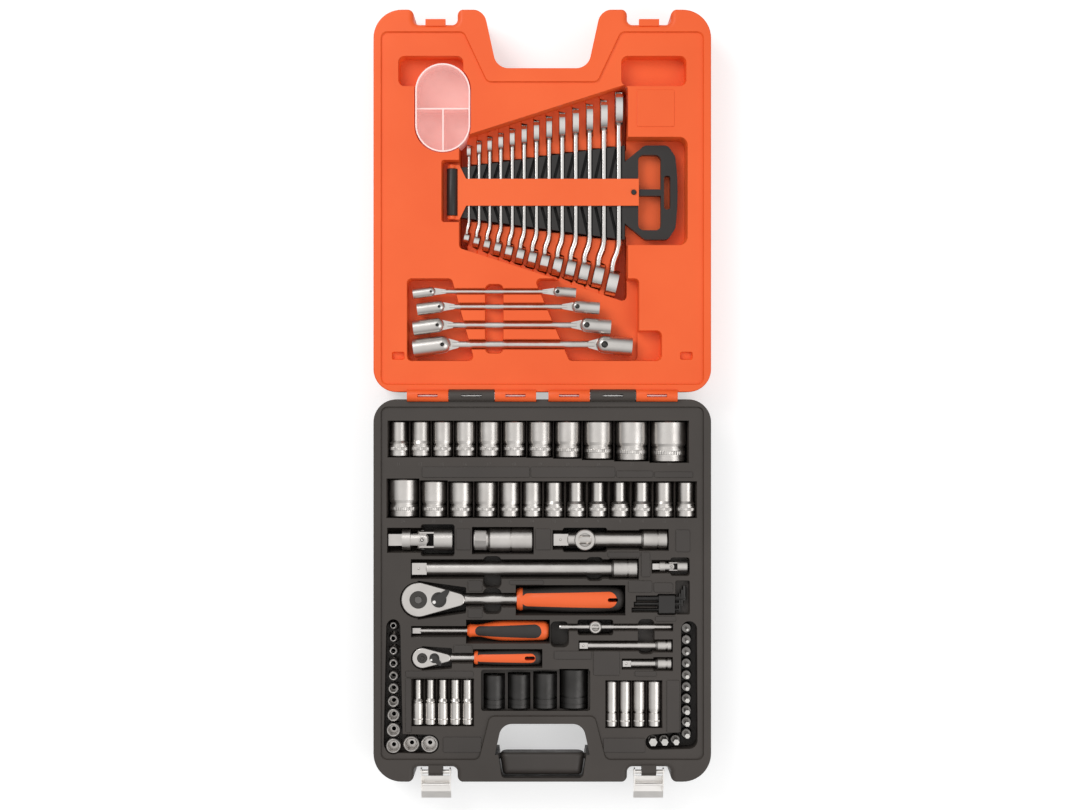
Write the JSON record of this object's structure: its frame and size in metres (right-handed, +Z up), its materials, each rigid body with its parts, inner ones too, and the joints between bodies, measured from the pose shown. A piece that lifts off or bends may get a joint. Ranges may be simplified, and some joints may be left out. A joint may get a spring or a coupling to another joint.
{
  "type": "socket wrench set in case",
  "caption": "Hinged carry case lying open, with sockets, ratchets, extensions and joints in the base and a wrench rack, flex-head wrenches and a storage box in the lid.",
  "frame": {"origin": "centre of the base half's underside", "axes": "+Z up, +Y from the handle side of the base towards the opened lid, +X to the right"},
  "size_m": [0.37, 0.8671, 0.0646],
  "materials": {
    "case_orange": "fine moulded texture",
    "case_black": "fine moulded texture",
    "band_orange": "smooth",
    "grip_black": "matt",
    "clear_plastic": "translucent",
    "polished_steel": "polished",
    "satin_steel": "satin",
    "black_steel": "black phosphate",
    "pin_steel": "satin"
  },
  "bodies": {
    "base": {"base_shell": "case_black", "hinge_pins": "pin_steel", "latch_pins": "pin_steel"},
    "lid": {"lid_shell": "case_orange"},
    "latch_lever_left": {"latch_lever_left": "pin_steel"},
    "latch_lever_right": {"latch_lever_right": "pin_steel"},
    "carry_handle": {"carry_handle": "case_black"},
    "storage_box": {"storage_box": "clear_plastic"},
    "storage_box_cover": {"storage_box_cover": "clear_plastic"},
    "wrench_rack": {"wrench_rack": "case_black", "combination_wrenches": "polished_steel"},
    "rack_band": {"rack_band": "band_orange"},
    "flex_wrench_1": {"flex_wrench_1": "satin_steel"},
    "flex_head_left_1": {"flex_head_left_1": "satin_steel"},
    "flex_head_right_1": {"flex_head_right_1": "satin_steel"},
    "flex_wrench_2": {"flex_wrench_2": "satin_steel"},
    "flex_head_left_2": {"flex_head_left_2": "satin_steel"},
    "flex_head_right_2": {"flex_head_right_2": "satin_steel"},
    "flex_wrench_3": {"flex_wrench_3": "satin_steel"},
    "flex_head_left_3": {"flex_head_left_3": "satin_steel"},
    "flex_head_right_3": {"flex_head_right_3": "satin_steel"},
    "flex_wrench_4": {"flex_wrench_4": "satin_steel"},
    "flex_head_left_4": {"flex_head_left_4": "satin_steel"},
    "flex_head_right_4": {"flex_head_right_4": "satin_steel"},
    "ratchet_half": {"ratchet_half_body": "satin_steel", "ratchet_half_grip": "grip_black", "ratchet_half_inlay": "band_orange"},
    "ratchet_half_drive": {"ratchet_half_drive": "satin_steel"},
    "ratchet_half_lever": {"ratchet_half_lever": "black_steel"},
    "ratchet_quarter": {"ratchet_quarter_body": "satin_steel", "ratchet_quarter_grip": "grip_black", "ratchet_quarter_inlay": "band_orange"},
    "ratchet_quarter_drive": {"ratchet_quarter_drive": "satin_steel"},
    "ratchet_quarter_lever": {"ratchet_quarter_lever": "black_steel"},
    "ratchet_half_button": {"ratchet_half_button": "black_steel"},
    "spinner": {"spinner_shaft": "satin_steel", "spinner_grip": "grip_black", "spinner_inlay": "band_orange"},
    "uj_half_drive_yoke": {"uj_half_drive_yoke": "satin_steel"},
    "uj_half_cross": {"uj_half_cross": "satin_steel"},
    "uj_half_socket_yoke": {"uj_half_socket_yoke": "satin_steel"},
    "uj_quarter_drive_yoke": {"uj_quarter_drive_yoke": "satin_steel"},
    "uj_quarter_cross": {"uj_quarter_cross": "satin_steel"},
    "uj_quarter_socket_yoke": {"uj_quarter_socket_yoke": "satin_steel"},
    "ext_250": {"ext_250": "satin_steel"},
    "ext_125": {"ext_125": "satin_steel"},
    "ext_100": {"ext_100": "satin_steel"},
    "ext_50": {"ext_50": "satin_steel"},
    "t_bar": {"t_bar": "satin_steel"},
    "spark_plug_socket": {"spark_plug_socket": "satin_steel"},
    "sockets_upper_row": {"sockets_upper_row": "satin_steel"},
    "sockets_lower_row": {"sockets_lower_row": "satin_steel"},
    "impact_sockets": {"impact_sockets": "black_steel"},
    "deep_sockets": {"deep_sockets": "satin_steel"},
    "small_sockets": {"small_sockets": "satin_steel"},
    "bit_sockets": {"bit_sockets": "satin_steel"},
    "hex_keys": {"hex_keys": "black_steel", "hex_key_clip": "case_black"},
    "slide_head": {"slide_head": "satin_steel"},
    "t_bar_head": {"t_bar_head": "satin_steel"}
  },
  "joints": [
    {"name": "lid_hinge", "type": "hinge", "parent": "base", "child": "lid", "pos_m": [0, 0.2135, 0.05815], "axis": [-1, 0, 0], "range_deg": [-180, 0]},
    {"name": "latch_lever_left_hinge", "type": "hinge", "parent": "base", "child": "latch_lever_left", "pos_m": [-0.117, -0.1996, 0.051], "axis": [1, 0, 0], "range_deg": [-90, 0]},
    {"name": "latch_lever_right_hinge", "type": "hinge", "parent": "base", "child": "latch_lever_right", "pos_m": [0.117, -0.1996, 0.051], "axis": [1, 0, 0], "range_deg": [-90, 0]},
    {"name": "carry_handle_hinge", "type": "hinge", "parent": "base", "child": "carry_handle", "pos_m": [0, -0.184, 0.041], "axis": [-1, 0, 0], "range_deg": [0, 90]},
    {"name": "storage_box_lift", "type": "slide", "parent": "lid", "child": "storage_box", "axis": [0, 0, 1], "range_m": [0, 0.08]},
    {"name": "storage_box_cover_lift", "type": "slide", "parent": "storage_box", "child": "storage_box_cover", "axis": [0, 0, 1], "range_m": [0, 0.06]},
    {"name": "wrench_rack_lift", "type": "slide", "parent": "lid", "child": "wrench_rack", "axis": [0, 0, 1], "range_m": [0, 0.08]},
    {"name": "rack_band_hinge", "type": "hinge", "parent": "wrench_rack", "child": "rack_band", "pos_m": [-0.0996, 0.438, 0.043], "axis": [0, -1, 0], "range_deg": [0, 110]},
    {"name": "flex_wrench_1_lift", "type": "slide", "parent": "lid", "child": "flex_wrench_1", "axis": [0, 0, 1], "range_m": [0, 0.08]},
    {"name": "flex_head_left_1_pivot", "type": "hinge", "parent": "flex_wrench_1", "child": "flex_head_left_1", "pos_m": [-0.1222, 0.3279, 0.051], "axis": [0, 0, 1], "range_deg": [-4, 4]},
    {"name": "flex_head_right_1_pivot", "type": "hinge", "parent": "flex_wrench_1", "child": "flex_head_right_1", "pos_m": [0.0168, 0.3279, 0.051], "axis": [0, 0, 1], "range_deg": [-4, 4]},
    {"name": "flex_wrench_2_lift", "type": "slide", "parent": "lid", "child": "flex_wrench_2", "axis": [0, 0, 1], "range_m": [0, 0.08]},
    {"name": "flex_head_left_2_pivot", "type": "hinge", "parent": "flex_wrench_2", "child": "flex_head_left_2", "pos_m": [-0.1131, 0.3114, 0.04975], "axis": [0, 0, 1], "range_deg": [-4, 4]},
    {"name": "flex_head_right_2_pivot", "type": "hinge", "parent": "flex_wrench_2", "child": "flex_head_right_2", "pos_m": [0.0385, 0.3114, 0.04975], "axis": [0, 0, 1], "range_deg": [-4, 4]},
    {"name": "flex_wrench_3_lift", "type": "slide", "parent": "lid", "child": "flex_wrench_3", "axis": [0, 0, 1], "range_m": [0, 0.08]},
    {"name": "flex_head_left_3_pivot", "type": "hinge", "parent": "flex_wrench_3", "child": "flex_head_left_3", "pos_m": [-0.1153, 0.2912, 0.04825], "axis": [0, 0, 1], "range_deg": [-4, 4]},
    {"name": "flex_head_right_3_pivot", "type": "hinge", "parent": "flex_wrench_3", "child": "flex_head_right_3", "pos_m": [0.0489, 0.2912, 0.04825], "axis": [0, 0, 1], "range_deg": [-4, 4]},
    {"name": "flex_wrench_4_lift", "type": "slide", "parent": "lid", "child": "flex_wrench_4", "axis": [0, 0, 1], "range_m": [0, 0.08]},
    {"name": "flex_head_left_4_pivot", "type": "hinge", "parent": "flex_wrench_4", "child": "flex_head_left_4", "pos_m": [-0.1098, 0.2698, 0.0465], "axis": [0, 0, 1], "range_deg": [-4, 4]},
    {"name": "flex_head_right_4_pivot", "type": "hinge", "parent": "flex_wrench_4", "child": "flex_head_right_4", "pos_m": [0.0684, 0.2698, 0.0465], "axis": [0, 0, 1], "range_deg": [-4, 4]},
    {"name": "ratchet_half_lift", "type": "slide", "parent": "base", "child": "ratchet_half", "axis": [0, 0, 1], "range_m": [0, 0.08]},
    {"name": "ratchet_half_drive_turn", "type": "hinge", "parent": "ratchet_half", "child": "ratchet_half_drive", "pos_m": [-0.1362, -0.0108, 0.0417], "axis": [0, 0, 1], "continuous": true},
    {"name": "ratchet_half_lever_turn", "type": "hinge", "parent": "ratchet_half", "child": "ratchet_half_lever", "pos_m": [-0.1137, -0.0108, 0.0417], "axis": [0, 0, 1], "range_deg": [-40, 0]},
    {"name": "ratchet_quarter_lift", "type": "slide", "parent": "base", "child": "ratchet_quarter", "axis": [0, 0, 1], "range_m": [0, 0.08]},
    {"name": "ratchet_quarter_drive_turn", "type": "hinge", "parent": "ratchet_quarter", "child": "ratchet_quarter_drive", "pos_m": [-0.1318, -0.0746, 0.0479], "axis": [0, 0, 1], "continuous": true},
    {"name": "ratchet_quarter_lever_turn", "type": "hinge", "parent": "ratchet_quarter", "child": "ratchet_quarter_lever", "pos_m": [-0.1184, -0.0746, 0.0479], "axis": [0, 0, 1], "range_deg": [0, 40]},
    {"name": "ratchet_half_button_press", "type": "slide", "parent": "ratchet_half_drive", "child": "ratchet_half_button", "axis": [0, 0, 1], "range_m": [-0.002, 0], "stiffness_N_per_m": 800},
    {"name": "spinner_lift", "type": "slide", "parent": "base", "child": "spinner", "axis": [0, 0, 1], "range_m": [0, 0.08]},
    {"name": "uj_half_drive_yoke_lift", "type": "slide", "parent": "base", "child": "uj_half_drive_yoke", "axis": [0, 0, 1], "range_m": [0, 0.08]},
    {"name": "uj_half_cross_swing", "type": "hinge", "parent": "uj_half_drive_yoke", "child": "uj_half_cross", "pos_m": [-0.132, 0.055, 0.0445], "axis": [0, 0, 1], "range_deg": [-5, 5]},
    {"name": "uj_half_socket_yoke_swing", "type": "hinge", "parent": "uj_half_cross", "child": "uj_half_socket_yoke", "pos_m": [-0.132, 0.055, 0.0445], "axis": [0, -1, 0], "range_deg": [0, 60]},
    {"name": "uj_quarter_drive_yoke_lift", "type": "slide", "parent": "base", "child": "uj_quarter_drive_yoke", "axis": [0, 0, 1], "range_m": [0, 0.08]},
    {"name": "uj_quarter_cross_swing", "type": "hinge", "parent": "uj_quarter_drive_yoke", "child": "uj_quarter_cross", "pos_m": [0.1415, 0.026, 0.0505], "axis": [0, 0, 1], "range_deg": [-5, 5]},
    {"name": "uj_quarter_socket_yoke_swing", "type": "hinge", "parent": "uj_quarter_cross", "child": "uj_quarter_socket_yoke", "pos_m": [0.1415, 0.026, 0.0505], "axis": [0, -1, 0], "range_deg": [0, 60]},
    {"name": "ext_250_lift", "type": "slide", "parent": "base", "child": "ext_250", "axis": [0, 0, 1], "range_m": [0, 0.08]},
    {"name": "ext_125_lift", "type": "slide", "parent": "base", "child": "ext_125", "axis": [0, 0, 1], "range_m": [0, 0.08]},
    {"name": "ext_100_lift", "type": "slide", "parent": "base", "child": "ext_100", "axis": [0, 0, 1], "range_m": [0, 0.08]},
    {"name": "ext_50_lift", "type": "slide", "parent": "base", "child": "ext_50", "axis": [0, 0, 1], "range_m": [0, 0.08]},
    {"name": "t_bar_lift", "type": "slide", "parent": "base", "child": "t_bar", "axis": [0, 0, 1], "range_m": [0, 0.08]},
    {"name": "spark_plug_socket_lift", "type": "slide", "parent": "base", "child": "spark_plug_socket", "axis": [0, 0, 1], "range_m": [0, 0.08]},
    {"name": "sockets_upper_row_lift", "type": "slide", "parent": "base", "child": "sockets_upper_row", "axis": [0, 0, 1], "range_m": [0, 0.08]},
    {"name": "sockets_lower_row_lift", "type": "slide", "parent": "base", "child": "sockets_lower_row", "axis": [0, 0, 1], "range_m": [0, 0.08]},
    {"name": "impact_sockets_lift", "type": "slide", "parent": "base", "child": "impact_sockets", "axis": [0, 0, 1], "range_m": [0, 0.08]},
    {"name": "deep_sockets_lift", "type": "slide", "parent": "base", "child": "deep_sockets", "axis": [0, 0, 1], "range_m": [0, 0.08]},
    {"name": "small_sockets_lift", "type": "slide", "parent": "base", "child": "small_sockets", "axis": [0, 0, 1], "range_m": [0, 0.08]},
    {"name": "bit_sockets_lift", "type": "slide", "parent": "base", "child": "bit_sockets", "axis": [0, 0, 1], "range_m": [0, 0.08]},
    {"name": "hex_keys_lift", "type": "slide", "parent": "base", "child": "hex_keys", "axis": [0, 0, 1], "range_m": [0, 0.08]},
    {"name": "slide_head_slide", "type": "slide", "parent": "ext_125", "child": "slide_head", "axis": [1, 0, 0], "range_m": [-0.006, 0.01]},
    {"name": "t_bar_head_slide", "type": "slide", "parent": "t_bar", "child": "t_bar_head", "axis": [1, 0, 0], "range_m": [-0.01, 0.01]}
  ]
}
